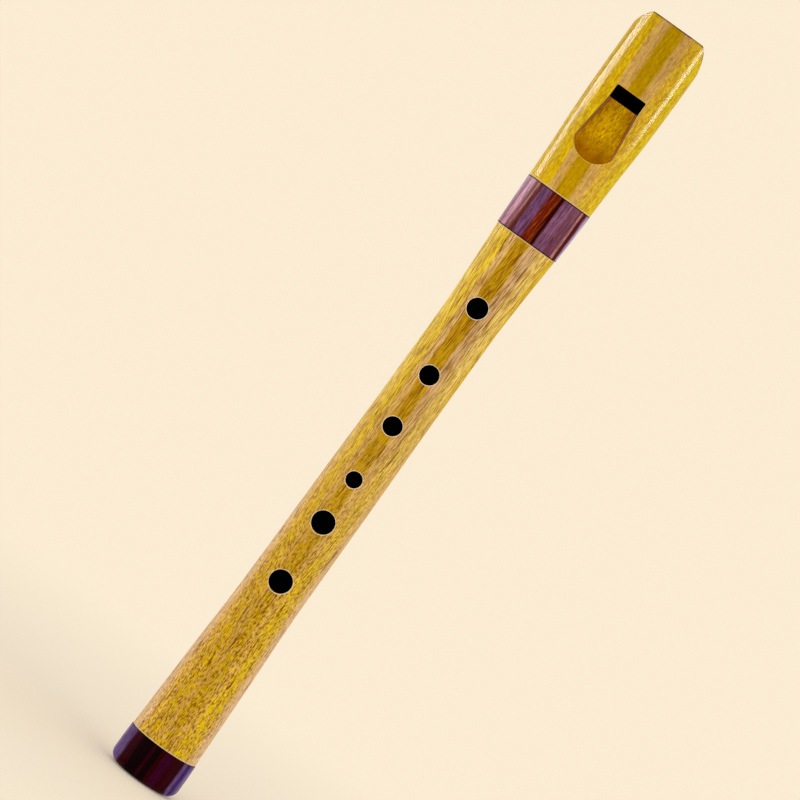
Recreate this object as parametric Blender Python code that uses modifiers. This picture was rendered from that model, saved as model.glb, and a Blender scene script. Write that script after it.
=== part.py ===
# Vertical wooden duct flute in two joints, a beaked head and a body with six finger holes.
# The body's corked tenon seats in the head's socket, where the head twists and pulls off.
# A dark ring sleeves the socket and a second one finishes the foot.
# The flute stands on its foot along +Z, with its window and finger holes facing -Y.
# Every size is in metres.

import math

import bmesh
import bpy
from mathutils import Matrix, Vector

# Driving dimensions of the whole flute
FLUTE_LENGTH = 0.3212
FOOT_RING_LENGTH = 0.0143
SOCKET_RING_FOOT = 0.2309
SOCKET_RING_LENGTH = 0.0196
FIT_GAP = 0.0003
EASED_EDGE = 0.0003
ROUND_STEPS = 64
SHARP_ANGLE = math.radians(30)

# Body joint: the turned outline as heights and radii, the bore, and the finger holes from the foot up
BODY_OUTLINE = (
    (0.0146, 0.01324),
    (0.0472, 0.01228),
    (0.0812, 0.01122),
    (0.1222, 0.01095),
    (0.1612, 0.01057),
    (0.1950, 0.01054),
    (0.2142, 0.01120),
    (0.2306, 0.01208),
)
BODY_OUTLINE_ROWS = 22
BODY_BORE_RADIUS = 0.0063
FINGER_HOLES = (
    (0.0854, 0.0086),
    (0.1107, 0.0086),
    (0.1290, 0.0061),
    (0.1519, 0.0071),
    (0.1737, 0.0072),
    (0.2022, 0.0077),
)
HOLE_STEPS = 32

# Tenon and socket: the cork fills a seat between two lands of the tenon
SOCKET_RADIUS = 0.0094
SOCKET_DEPTH = 0.0188
TENON_LENGTH = 0.0185
TENON_RADIUS = 0.0089
CORK_RADIUS = 0.0091
CORK_SEAT_RADIUS = 0.0081
CORK_SEAT_START = 0.0035
CORK_SEAT_LENGTH = 0.0115

# Foot ring: a cup that the body's foot spigot is glued into
FOOT_RING_TOP_RADIUS = 0.01350
FOOT_RING_RADIUS = 0.01365
FOOT_RING_SWELL_HEIGHT = 0.0085
FOOT_ROUND = 0.0038
FOOT_ROUND_STEPS = 8
FOOT_SPIGOT_RADIUS = 0.0096
FOOT_FLOOR = 0.0040
FOOT_BORE_CHAMFER = 0.0008

# Socket ring: a tapered sleeve over the head's spigot
SOCKET_RING_FOOT_RADIUS = 0.01240
SOCKET_RING_HEAD_RADIUS = 0.01302
HEAD_SPIGOT_RADIUS = 0.0108

# Head joint: half width and half depth as heights and sizes, round at the ring and soft square at the mouth
HEAD_HALF_WIDTHS = (
    (0.2508, 0.01290),
    (0.2647, 0.01330),
    (0.2772, 0.01390),
    (0.2897, 0.01420),
    (0.3022, 0.01430),
    (0.3212, 0.01430),
)
HEAD_HALF_DEPTHS = (
    (0.2508, 0.01290),
    (0.2772, 0.01310),
    (0.2962, 0.01330),
    (0.3212, 0.01330),
)
SQUARENESS = (
    (0.2508, 2.0),
    (0.3012, 3.0),
    (0.3212, 3.0),
)
HEAD_ROWS = 20
HEAD_BORE_RADIUS = 0.00825
MOUTH_EDGE = 0.0005
# Each corner of the mouth end is cut square to the front: its length down the side, its width across the
# end, and its fullness, where 1 is a straight slant and 2 a quarter round
LEFT_CORNER = (0.0071, 0.0043, 1.45)
RIGHT_CORNER = (0.0105, 0.0043, 1.6)
CORNER_START = 0.1
CORNER_STEPS = 12

# Window, labium ramp and windway, as heights up the flute and depths in front of its axis
WINDOW_WIDTH = 0.0120
WINDOW_TOP = 0.2936
LABIUM_HEIGHT = 0.2885
WINDOW_CORNER = 0.0006
LABIUM_DEPTH = 0.0085
LABIUM_UNDERSIDE = 0.00825
LABIUM_UNDERSIDE_FOOT = 0.2802
RAMP_WIDEST = 0.0168
RAMP_WIDEST_HEIGHT = 0.2700
RAMP_FOOT = 0.2655
RAMP_FOOT_DEPTH = 0.0121
RAMP_ARC_STEPS = 16
RAMP_WALL_DRAFT = 0.20
RAMP_FILLET = 0.0012
WINDWAY_FLOOR = 0.0078
WINDWAY_ROOF = 0.0092
WINDWAY_MOUTH_ROOF = 0.0096
BLOCK_CHAMFER = 0.0006

# Beak: a hollow sweep across the back of the mouthpiece
BEAK_RADIUS = 0.050
BEAK_LIP_DEPTH = 0.0015
BEAK_CENTRE_ABOVE_MOUTH = 0.004
BEAK_STEPS = 144

# Room by which a cutter passes the wood that it cuts
OVERRUN = 0.003

# Heights and sizes worked out from the ones above
BODY_FOOT = FOOT_RING_LENGTH + FIT_GAP
BODY_SHOULDER = SOCKET_RING_FOOT - FIT_GAP
TENON_TOP = BODY_SHOULDER + TENON_LENGTH
CORK_SEAT_FOOT = BODY_SHOULDER + CORK_SEAT_START
CORK_SEAT_TOP = CORK_SEAT_FOOT + CORK_SEAT_LENGTH
SOCKET_RING_HEAD = SOCKET_RING_FOOT + SOCKET_RING_LENGTH
HEAD_SEAM = SOCKET_RING_HEAD + FIT_GAP
HEAD_SPIGOT_FOOT = SOCKET_RING_FOOT + FIT_GAP
SOCKET_FLOOR = HEAD_SPIGOT_FOOT + SOCKET_DEPTH
BLOCK_RADIUS = HEAD_BORE_RADIUS - FIT_GAP
HEAD_FRONT = HEAD_HALF_DEPTHS[-1][1] + OVERRUN
WINDOW_MIDDLE = (LABIUM_HEIGHT + WINDOW_TOP) / 2
WINDOW_REACH = HEAD_BORE_RADIUS / 2

WOODS = {
    "head_joint": ((0.49, 0.27, 0.018), 0.28),
    "body_joint": ((0.50, 0.28, 0.020), 0.36),
    "fipple_block": ((0.36, 0.17, 0.085), 0.55),
    "socket_ring": ((0.105, 0.022, 0.022), 0.32),
    "foot_ring": ((0.018, 0.002, 0.004), 0.26),
    "tenon_cork": ((0.46, 0.29, 0.15), 0.85),
}


def clear_scene():
    for obj in list(bpy.data.objects):
        bpy.data.objects.remove(obj, do_unlink=True)


def new_collection(name):
    collection = bpy.data.collections.new(name)
    bpy.context.scene.collection.children.link(collection)
    return collection


def wood_material(name):
    colour, roughness = WOODS[name]
    material = bpy.data.materials.new(name)
    material.use_nodes = True
    shader = material.node_tree.nodes["Principled BSDF"]
    shader.inputs["Base Color"].default_value = (*colour, 1.0)
    shader.inputs["Roughness"].default_value = roughness
    shader.inputs["Metallic"].default_value = 0.0
    return material


def add_piece(name, mesh):
    piece = bpy.data.objects.new(name, mesh)
    mesh.materials.append(wood_material(name))
    flute.objects.link(piece)
    return piece


def add_cutter(name, mesh):
    cutter = bpy.data.objects.new(name, mesh)
    cutter.hide_render = True
    cutter.display_type = "WIRE"
    cutters.objects.link(cutter)
    return cutter


def mesh_from(name, shape):
    bmesh.ops.recalc_face_normals(shape, faces=shape.faces)
    mesh = bpy.data.meshes.new(name)
    shape.to_mesh(mesh)
    shape.free()
    return mesh


def cut(piece, cutter):
    boolean = piece.modifiers.new(cutter.name, "BOOLEAN")
    boolean.operation = "DIFFERENCE"
    boolean.object = cutter


def turned_piece(name, profile):
    # The closed profile runs down the outer side and back up the inner side.
    mesh = bpy.data.meshes.new(name)
    points = [(radius, 0.0, height) for radius, height in profile]
    edges = [(index, (index + 1) % len(points)) for index in range(len(points))]
    mesh.from_pydata(points, edges, [])
    piece = add_piece(name, mesh)
    turning = piece.modifiers.new("turning", "SCREW")
    turning.steps = ROUND_STEPS
    turning.render_steps = ROUND_STEPS
    turning.use_merge_vertices = True
    turning.merge_threshold = 0.00001
    return piece


def cylinder_mesh(name, radius, length, steps):
    shape = bmesh.new()
    bmesh.ops.create_cone(
        shape, cap_ends=True, segments=steps, radius1=radius, radius2=radius, depth=length
    )
    return mesh_from(name, shape)


def box_shape(low, high):
    shape = bmesh.new()
    bmesh.ops.create_cube(shape, size=1.0)
    size = [far - near for near, far in zip(low, high)]
    middle = [(near + far) / 2 for near, far in zip(low, high)]
    bmesh.ops.scale(shape, vec=size, verts=shape.verts)
    bmesh.ops.translate(shape, vec=middle, verts=shape.verts)
    return shape


def prism_shape(outline, half_width):
    # A side outline of (y, z) points, extruded across the flute.
    shape = bmesh.new()
    side = shape.faces.new([shape.verts.new((-half_width, y, z)) for y, z in outline])
    grown = bmesh.ops.extrude_face_region(shape, geom=[side])["geom"]
    moved = [item for item in grown if isinstance(item, bmesh.types.BMVert)]
    bmesh.ops.translate(shape, vec=(2 * half_width, 0.0, 0.0), verts=moved)
    return shape


def station_slopes(stations):
    chords = [(b[1] - a[1]) / (b[0] - a[0]) for a, b in zip(stations, stations[1:])]
    inner = [
        2 * before * after / (before + after) if before * after > 0 else 0.0
        for before, after in zip(chords, chords[1:])
    ]
    return [chords[0], *inner, chords[-1]]


def curve_value(stations, height):
    # A smooth curve through the stations that never swings past them.
    slopes = station_slopes(stations)
    last = len(stations) - 2
    index = next((i for i in range(last) if height <= stations[i + 1][0]), last)
    (low, start), (high, end) = stations[index], stations[index + 1]
    span = high - low
    t = min(max((height - low) / span, 0.0), 1.0)
    rise = (start - end) * (2 * t - 3) * t * t + start
    lean_in = slopes[index] * span * t * (1 - t) * (1 - t)
    lean_out = slopes[index + 1] * span * t * t * (t - 1)
    return rise + lean_in + lean_out


def even_heights(low, high, rows):
    return [low + (high - low) * row / (rows - 1) for row in range(rows)]


def foot_round_points(radius):
    # Quarter round from the ring's side down to its flat foot.
    points = []
    for step in range(FOOT_ROUND_STEPS + 1):
        angle = math.radians(90 * step / FOOT_ROUND_STEPS)
        inset = FOOT_ROUND * (1 - math.cos(angle))
        points.append((radius - inset, FOOT_ROUND * (1 - math.sin(angle))))
    return points


def make_foot_ring():
    bore = BODY_BORE_RADIUS
    socket = FOOT_SPIGOT_RADIUS + FIT_GAP
    profile = [
        (FOOT_RING_TOP_RADIUS - EASED_EDGE, FOOT_RING_LENGTH),
        (FOOT_RING_TOP_RADIUS, FOOT_RING_LENGTH - EASED_EDGE),
        (FOOT_RING_RADIUS, FOOT_RING_SWELL_HEIGHT),
        *foot_round_points(FOOT_RING_RADIUS),
        (bore + FOOT_BORE_CHAMFER, 0.0),
        (bore, FOOT_BORE_CHAMFER),
        (bore, FOOT_FLOOR),
        (socket, FOOT_FLOOR),
        (socket, FOOT_RING_LENGTH),
    ]
    return turned_piece("foot_ring", profile)


def make_socket_ring():
    bore = HEAD_SPIGOT_RADIUS + FIT_GAP
    profile = [
        (SOCKET_RING_HEAD_RADIUS - EASED_EDGE, SOCKET_RING_HEAD),
        (SOCKET_RING_HEAD_RADIUS, SOCKET_RING_HEAD - EASED_EDGE),
        (SOCKET_RING_FOOT_RADIUS, SOCKET_RING_FOOT + EASED_EDGE),
        (SOCKET_RING_FOOT_RADIUS - EASED_EDGE, SOCKET_RING_FOOT),
        (bore, SOCKET_RING_FOOT),
        (bore, SOCKET_RING_HEAD),
    ]
    return turned_piece("socket_ring", profile)


def make_tenon_cork():
    inside = CORK_SEAT_RADIUS + FIT_GAP
    low = CORK_SEAT_FOOT + FIT_GAP
    high = CORK_SEAT_TOP - FIT_GAP
    profile = [
        (CORK_RADIUS - EASED_EDGE, high),
        (CORK_RADIUS, high - EASED_EDGE),
        (CORK_RADIUS, low + EASED_EDGE),
        (CORK_RADIUS - EASED_EDGE, low),
        (inside, low),
        (inside, high),
    ]
    return turned_piece("tenon_cork", profile)


def tenon_points():
    return [
        (TENON_RADIUS - EASED_EDGE, TENON_TOP),
        (TENON_RADIUS, TENON_TOP - EASED_EDGE),
        (TENON_RADIUS, CORK_SEAT_TOP),
        (CORK_SEAT_RADIUS, CORK_SEAT_TOP),
        (CORK_SEAT_RADIUS, CORK_SEAT_FOOT),
        (TENON_RADIUS, CORK_SEAT_FOOT),
        (TENON_RADIUS, BODY_SHOULDER),
    ]


def body_side_points():
    top_radius = curve_value(BODY_OUTLINE, BODY_SHOULDER)
    foot_radius = curve_value(BODY_OUTLINE, BODY_FOOT)
    low = BODY_FOOT + EASED_EDGE
    high = BODY_SHOULDER - EASED_EDGE
    heights = even_heights(high, low, BODY_OUTLINE_ROWS)
    side = [(curve_value(BODY_OUTLINE, height), height) for height in heights]
    shoulder = (top_radius - EASED_EDGE, BODY_SHOULDER)
    foot = (foot_radius - EASED_EDGE, BODY_FOOT)
    return [shoulder, *side, foot]


def make_body_joint():
    spigot_end = FOOT_FLOOR + FIT_GAP
    profile = [
        *tenon_points(),
        *body_side_points(),
        (FOOT_SPIGOT_RADIUS, BODY_FOOT),
        (FOOT_SPIGOT_RADIUS, spigot_end),
        (BODY_BORE_RADIUS, spigot_end),
        (BODY_BORE_RADIUS, TENON_TOP),
    ]
    body = turned_piece("body_joint", profile)
    for number, (height, diameter) in enumerate(FINGER_HOLES, start=1):
        cut(body, finger_hole(number, height, diameter))
    return body


def finger_hole(number, height, diameter):
    # Drilled square to the axis, from in front of the body to the middle of its bore.
    length = BODY_OUTLINE[0][1] + OVERRUN
    name = f"finger_hole_{number}"
    hole = add_cutter(name, cylinder_mesh(name, diameter / 2, length, HOLE_STEPS))
    hole.rotation_euler = (math.radians(90), 0.0, 0.0)
    hole.location = (0.0, -length / 2, height)
    return hole


def head_section(half_width, half_depth, squareness, height):
    # A ring of points at even angles, anticlockwise from +X seen from above.
    points = []
    for step in range(ROUND_STEPS):
        angle = 2 * math.pi * step / ROUND_STEPS
        across = math.cos(angle)
        deep = math.sin(angle)
        reach = abs(across / half_width) ** squareness + abs(deep / half_depth) ** squareness
        radius = reach ** (-1 / squareness)
        points.append(Vector((radius * across, radius * deep, height)))
    return points


def outer_section(height, ease=0.0):
    half_width = curve_value(HEAD_HALF_WIDTHS, height) - ease
    half_depth = curve_value(HEAD_HALF_DEPTHS, height) - ease
    return head_section(half_width, half_depth, curve_value(SQUARENESS, height), height)


def round_section(radius, height):
    return head_section(radius, radius, 2.0, height)


def head_outer_sections():
    heights = even_heights(HEAD_SEAM + EASED_EDGE, FLUTE_LENGTH - MOUTH_EDGE, HEAD_ROWS)
    return [
        round_section(HEAD_SPIGOT_RADIUS - EASED_EDGE, HEAD_SPIGOT_FOOT),
        round_section(HEAD_SPIGOT_RADIUS, HEAD_SPIGOT_FOOT + EASED_EDGE),
        round_section(HEAD_SPIGOT_RADIUS, HEAD_SEAM),
        outer_section(HEAD_SEAM, EASED_EDGE),
        *[outer_section(height) for height in heights],
        outer_section(FLUTE_LENGTH, MOUTH_EDGE),
    ]


def corner_point(share, corner):
    # The corner's curve from the head's side, share 0, to the mouth end, share 1, as (across, height).
    length, width, fullness = corner
    inset = width * (1 - (1 - share**fullness) ** (1 / fullness))
    return HEAD_HALF_WIDTHS[-1][1] - inset, FLUTE_LENGTH - length * (1 - share)


def corner_cutter(name, corner, side):
    # A curved prism from front to back; it comes in along the slant of the curve's first part.
    shares = [CORNER_START + (1 - CORNER_START) * step / CORNER_STEPS for step in range(CORNER_STEPS + 1)]
    curve = [corner_point(share, corner) for share in shares]
    first, second = curve[0], curve[1]
    outside = HEAD_HALF_WIDTHS[-1][1] + EASED_EDGE
    slant = (second[1] - first[1]) / (second[0] - first[0])
    entry = (outside, first[1] + slant * (outside - first[0]))
    over = FLUTE_LENGTH + OVERRUN
    outline = [entry, *curve, (curve[-1][0], over), (outside, over)]
    shape = bmesh.new()
    front = shape.faces.new([shape.verts.new((side * across, -HEAD_FRONT, z)) for across, z in outline])
    grown = bmesh.ops.extrude_face_region(shape, geom=[front])["geom"]
    moved = [item for item in grown if isinstance(item, bmesh.types.BMVert)]
    bmesh.ops.translate(shape, vec=(0.0, 2 * HEAD_FRONT, 0.0), verts=moved)
    return add_cutter(name, mesh_from(name, shape))


def loft(sections):
    # One closed skin through the sections, from the lowest up, with flat ends.
    shape = bmesh.new()
    rings = [[shape.verts.new(point) for point in section] for section in sections]
    count = len(rings[0])
    for lower, upper in zip(rings, rings[1:]):
        for index in range(count):
            after = (index + 1) % count
            shape.faces.new((lower[index], lower[after], upper[after], upper[index]))
    shape.faces.new(reversed(rings[0]))
    shape.faces.new(rings[-1])
    return shape


def upright_cylinder_cutter(name, radius, low, high):
    cutter = add_cutter(name, cylinder_mesh(name, radius, high - low, ROUND_STEPS))
    cutter.location = (0.0, 0.0, (low + high) / 2)
    return cutter


def window_cutter():
    half = WINDOW_WIDTH / 2
    shape = box_shape((-half, -HEAD_FRONT, LABIUM_HEIGHT), (half, -WINDOW_REACH, WINDOW_TOP))
    upper_corners = [
        edge
        for edge in shape.edges
        if all(vert.co.z > WINDOW_MIDDLE for vert in edge.verts)
        and abs(edge.verts[0].co.x - edge.verts[1].co.x) < EASED_EDGE
    ]
    bmesh.ops.bevel(
        shape, geom=upper_corners, offset=WINDOW_CORNER, segments=4, profile=0.5, affect="EDGES"
    )
    return add_cutter("window", mesh_from("window", shape))


def labium_underside_cutter():
    # Flattens the top of the bore below the labium, so that its edge is thin all the way across.
    half = WINDOW_WIDTH / 2
    shape = box_shape((-half, -LABIUM_UNDERSIDE, LABIUM_UNDERSIDE_FOOT), (half, -WINDOW_REACH, WINDOW_MIDDLE))
    return add_cutter("labium_underside", mesh_from("labium_underside", shape))


def windway_cutter():
    # The channel is a little taller at the mouth than at the window.
    mouth = FLUTE_LENGTH + OVERRUN
    outline = [
        (-WINDWAY_FLOOR, WINDOW_MIDDLE),
        (-WINDWAY_FLOOR, mouth),
        (-WINDWAY_MOUTH_ROOF, mouth),
        (-WINDWAY_ROOF, WINDOW_MIDDLE),
    ]
    return add_cutter("windway", mesh_from("windway", prism_shape(outline, WINDOW_WIDTH / 2)))


def ramp_outline():
    # Plan of the ramp as (across, height): straight flaring sides closed by a round end.
    half_window = WINDOW_WIDTH / 2
    half_widest = RAMP_WIDEST / 2
    rise = RAMP_WIDEST_HEIGHT - RAMP_FOOT
    radius = (half_widest**2 + rise**2) / (2 * rise)
    sweep = math.asin(half_widest / radius)
    points = [(half_window, WINDOW_MIDDLE), (half_window, LABIUM_HEIGHT)]
    for step in range(RAMP_ARC_STEPS + 1):
        angle = sweep * (1 - 2 * step / RAMP_ARC_STEPS)
        points.append((radius * math.sin(angle), RAMP_FOOT + radius * (1 - math.cos(angle))))
    return [*points, (-half_window, LABIUM_HEIGHT), (-half_window, WINDOW_MIDDLE)]


def ramp_depth(height):
    # Depth of the ramp's flat floor in front of the axis.
    slope = (RAMP_FOOT_DEPTH - LABIUM_DEPTH) / (LABIUM_HEIGHT - RAMP_FOOT)
    return LABIUM_DEPTH + slope * (LABIUM_HEIGHT - height)


def ramp_wall_point(across, height, depth):
    # Where the drafted wall that starts at this point of the plan has got to at this depth.
    inward = Vector((-across, 0.0, max(0.0, RAMP_WIDEST_HEIGHT - height))).normalized()
    face_depth = HEAD_HALF_DEPTHS[0][1]
    return Vector((across, -depth, height)) + inward * RAMP_WALL_DRAFT * (face_depth - depth)


def ramp_cutter():
    # The plan is pushed back from in front of the head to the sloping floor, drawing in as it goes.
    outline = ramp_outline()
    shape = bmesh.new()
    near = [shape.verts.new(ramp_wall_point(across, height, HEAD_FRONT)) for across, height in outline]
    far = [shape.verts.new(ramp_wall_point(across, height, ramp_depth(height))) for across, height in outline]
    for index in range(len(outline)):
        after = (index + 1) % len(outline)
        shape.faces.new((near[index], near[after], far[after], far[index]))
    shape.faces.new(reversed(near))
    floor = shape.faces.new(far)
    round_end = [
        edge for edge in floor.edges if all(vert.co.z < LABIUM_HEIGHT - OVERRUN for vert in edge.verts)
    ]
    bmesh.ops.bevel(
        shape, geom=round_end, offset=RAMP_FILLET, segments=4, profile=0.5, affect="EDGES"
    )
    return add_cutter("labium_ramp", mesh_from("labium_ramp", shape))


def beak_cutter():
    length = 4 * HEAD_HALF_WIDTHS[-1][1]
    cutter = add_cutter("beak", cylinder_mesh("beak", BEAK_RADIUS, length, BEAK_STEPS))
    cutter.rotation_euler = (0.0, math.radians(90), 0.0)
    cutter.location = (0.0, BEAK_RADIUS - BEAK_LIP_DEPTH, FLUTE_LENGTH + BEAK_CENTRE_ABOVE_MOUTH)
    return cutter


def make_head_joint(beak):
    mesh = mesh_from("head_joint", loft(head_outer_sections()))
    head = add_piece("head_joint", mesh)
    below = HEAD_SPIGOT_FOOT - OVERRUN
    above = FLUTE_LENGTH + OVERRUN
    cut(head, upright_cylinder_cutter("head_bore", HEAD_BORE_RADIUS, below, above))
    cut(head, upright_cylinder_cutter("socket", SOCKET_RADIUS, below, SOCKET_FLOOR))
    cut(head, corner_cutter("left_corner", LEFT_CORNER, -1))
    cut(head, corner_cutter("right_corner", RIGHT_CORNER, 1))
    for cutter in (window_cutter(), labium_underside_cutter(), windway_cutter(), ramp_cutter(), beak):
        cut(head, cutter)
    return head


def block_flat_cutter():
    # Planes the windway floor and chamfers its end at the window.
    mouth = FLUTE_LENGTH + OVERRUN
    below = WINDOW_TOP - OVERRUN
    outline = [
        (-HEAD_FRONT, below),
        (-WINDWAY_FLOOR + BLOCK_CHAMFER + OVERRUN, below),
        (-WINDWAY_FLOOR, WINDOW_TOP + BLOCK_CHAMFER),
        (-WINDWAY_FLOOR, mouth),
        (-HEAD_FRONT, mouth),
    ]
    return add_cutter("block_flat", mesh_from("block_flat", prism_shape(outline, HEAD_BORE_RADIUS)))


def make_fipple_block(beak):
    length = FLUTE_LENGTH - WINDOW_TOP
    mesh = cylinder_mesh("fipple_block", BLOCK_RADIUS, length, ROUND_STEPS)
    mesh.transform(Matrix.Translation((0.0, 0.0, WINDOW_TOP + length / 2)))
    block = add_piece("fipple_block", mesh)
    cut(block, block_flat_cutter())
    cut(block, beak)
    return block


def shade(piece):
    # The cuts are made final, so that round faces shade smooth and their rims stay sharp.
    graph = bpy.context.evaluated_depsgraph_get()
    mesh = bpy.data.meshes.new_from_object(piece.evaluated_get(graph))
    piece.modifiers.clear()
    piece.data = mesh
    mesh.shade_smooth()
    mesh.set_sharp_from_angle(angle=SHARP_ANGLE)


def add_pivot(name, height, children):
    pivot = bpy.data.objects.new(name, None)
    pivot.location = (0.0, 0.0, height)
    flute.objects.link(pivot)
    for child in children:
        child.parent = pivot
        child.matrix_parent_inverse = Matrix.Translation((0.0, 0.0, -height))


clear_scene()
flute = new_collection("wooden_flute")
cutters = new_collection("cutters")
beak_sweep = beak_cutter()
body = make_body_joint()
foot_ring = make_foot_ring()
cork = make_tenon_cork()
socket_ring = make_socket_ring()
head = make_head_joint(beak_sweep)
block = make_fipple_block(beak_sweep)
for made in (body, foot_ring, cork, socket_ring, head, block):
    shade(made)
add_pivot("twist_axis", SOCKET_RING_FOOT, [cork])
add_pivot("pull_axis", SOCKET_RING_HEAD, [head, block, socket_ring])
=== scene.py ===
import math

import bmesh
import bpy
from mathutils import Matrix, Vector


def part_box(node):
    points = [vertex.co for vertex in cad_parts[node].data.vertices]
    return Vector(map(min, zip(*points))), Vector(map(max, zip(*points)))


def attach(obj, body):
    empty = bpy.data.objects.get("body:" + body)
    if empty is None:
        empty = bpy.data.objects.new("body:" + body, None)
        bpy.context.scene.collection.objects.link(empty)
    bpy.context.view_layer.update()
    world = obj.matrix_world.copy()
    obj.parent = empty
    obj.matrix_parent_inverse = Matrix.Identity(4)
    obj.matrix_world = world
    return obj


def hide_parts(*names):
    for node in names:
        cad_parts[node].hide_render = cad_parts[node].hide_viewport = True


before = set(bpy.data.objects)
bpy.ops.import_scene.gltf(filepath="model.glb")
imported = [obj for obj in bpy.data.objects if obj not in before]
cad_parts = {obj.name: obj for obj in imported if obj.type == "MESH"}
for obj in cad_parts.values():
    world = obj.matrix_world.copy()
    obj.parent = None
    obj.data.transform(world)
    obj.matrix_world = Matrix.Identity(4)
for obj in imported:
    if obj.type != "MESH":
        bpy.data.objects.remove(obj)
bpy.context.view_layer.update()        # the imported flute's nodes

# Heights along the flute, read from the imported nodes
bodyLow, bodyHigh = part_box("body_joint")
footLow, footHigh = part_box("foot_ring")
ringLow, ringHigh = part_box("socket_ring")
headLow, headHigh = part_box("head_joint")
corkLow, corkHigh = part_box("tenon_cork")
footSeam = footHigh.z
shoulder = ringLow.z
ringTop = ringHigh.z
mouthEnd = headHigh.z

roundSteps = 192         # sides of every turned surface
sharpAngle = 32          # degrees at which an edge stays crisp
hairline = 0.00006       # visible gap at a closed seam
overrun = 0.003          # how far a cutter reaches past what it cuts


# Modelling helpers

def newPiece(name, shape, *materials):
    mesh = bpy.data.meshes.new(name)
    shape.to_mesh(mesh)
    shape.free()
    for material in materials:
        mesh.materials.append(material)
    piece = bpy.data.objects.new(name, mesh)
    bpy.context.scene.collection.objects.link(piece)
    return piece


def settleNormals(shape):
    bmesh.ops.remove_doubles(shape, verts=shape.verts, dist=1e-7)
    bmesh.ops.recalc_face_normals(shape, faces=shape.faces)


def closeEnds(shape):
    bmesh.ops.holes_fill(shape, edges=[edge for edge in shape.edges if edge.is_boundary], sides=0)
    settleNormals(shape)


def roundEdges(shape, edges, size):
    bmesh.ops.bevel(
        shape, geom=edges, offset=size, offset_type="OFFSET", segments=8,
        profile=0.5, material=-1, affect="EDGES",
    )


def spread(low, high, count):
    return [low + (high - low) * i / (count - 1) for i in range(count)]


def smoothCurve(stations, height):
    # A smooth curve through (height, size) stations that never swings past them.
    spans = list(zip(stations, stations[1:]))
    chords = [(b[1] - a[1]) / (b[0] - a[0]) for a, b in spans]
    slopes = [chords[0]]
    for before, after in zip(chords, chords[1:]):
        slopes.append(2 * before * after / (before + after) if before * after > 0 else 0.0)
    slopes.append(chords[-1])
    index = next((i for i, (a, b) in enumerate(spans) if height <= b[0]), len(spans) - 1)
    (low, start), (high, end) = spans[index]
    t = min(max((height - low) / (high - low), 0.0), 1.0)
    rise = start + (start - end) * (2 * t - 3) * t * t
    leanIn = slopes[index] * (high - low) * t * (1 - t) ** 2
    leanOut = slopes[index + 1] * (high - low) * t * t * (t - 1)
    return rise + leanIn + leanOut


def roundedCorner(radius, height, size, fromDegrees, toDegrees, count=6):
    # Points of an eased edge, round a centre at (radius, height).
    angles = [math.radians(a) for a in spread(fromDegrees, toDegrees, count)]
    return [(radius + size * math.cos(a), height + size * math.sin(a)) for a in angles]


def sleeveOutline(inside, lowRadius, highRadius, low, high, ease):
    # A plain sleeve with eased outer edges, as (radius, height) points.
    return [
        (inside, high),
        *roundedCorner(highRadius - ease, high - ease, ease, 90, 0),
        *roundedCorner(lowRadius - ease, low + ease, ease, 0, -90),
        (inside, low),
    ]


def turnOutline(points):
    # Spins a closed outline of (radius, height) points once round the flute's axis.
    shape = bmesh.new()
    verts = [shape.verts.new((radius, 0.0, height)) for radius, height in points]
    edges = [shape.edges.new((verts[i - 1], verts[i])) for i in range(len(verts))]
    bmesh.ops.spin(
        shape, geom=verts + edges, cent=(0, 0, 0), axis=(0, 0, 1),
        angle=2 * math.pi, steps=roundSteps, use_merge=True,
    )
    settleNormals(shape)
    return shape


def growRing(shape, edges):
    # Extrudes a ring of edges and gives back the new ring's vertices and edges, in place.
    grown = bmesh.ops.extrude_edge_only(shape, edges=edges)["geom"]
    verts = [item for item in grown if isinstance(item, bmesh.types.BMVert)]
    ring = set(verts)
    return verts, [item for item in grown if isinstance(item, bmesh.types.BMEdge) and set(item.verts) <= ring]


def startRing(count):
    # A circle of loose edges, whose vertices keep their place in turn as they are extruded.
    shape = bmesh.new()
    bmesh.ops.create_circle(shape, cap_ends=False, segments=count, radius=1.0)
    return shape, list(shape.verts), list(shape.edges)


def turnOf(vert):
    return math.atan2(vert.co.y, vert.co.x)


def cutterCylinder(radius, length, steps=roundSteps):
    shape = bmesh.new()
    bmesh.ops.create_cone(shape, cap_ends=True, segments=steps, radius1=radius, radius2=radius, depth=length)
    return shape


def uprightCylinder(radius, low, high):
    shape = cutterCylinder(radius, high - low)
    bmesh.ops.translate(shape, verts=shape.verts, vec=(0, 0, (low + high) / 2))
    return shape


def boxShape(low, high):
    shape = bmesh.new()
    bmesh.ops.create_cube(shape, size=1.0)
    bmesh.ops.scale(shape, vec=[b - a for a, b in zip(low, high)], verts=shape.verts)
    bmesh.ops.translate(shape, vec=[(a + b) / 2 for a, b in zip(low, high)], verts=shape.verts)
    return shape


def prism(corners, travel):
    # A flat outline of 3D corners, extruded by travel.
    shape = bmesh.new()
    side = shape.faces.new([shape.verts.new(corner) for corner in corners])
    grown = bmesh.ops.extrude_face_region(shape, geom=[side])["geom"]
    moved = [item for item in grown if isinstance(item, bmesh.types.BMVert)]
    bmesh.ops.translate(shape, vec=travel, verts=moved)
    bmesh.ops.recalc_face_normals(shape, faces=shape.faces)
    return shape


def sidePrism(outline, halfWidth):
    # A side outline of (y, z) points, extruded across the flute.
    return prism([(-halfWidth, y, z) for y, z in outline], (2 * halfWidth, 0, 0))


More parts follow.
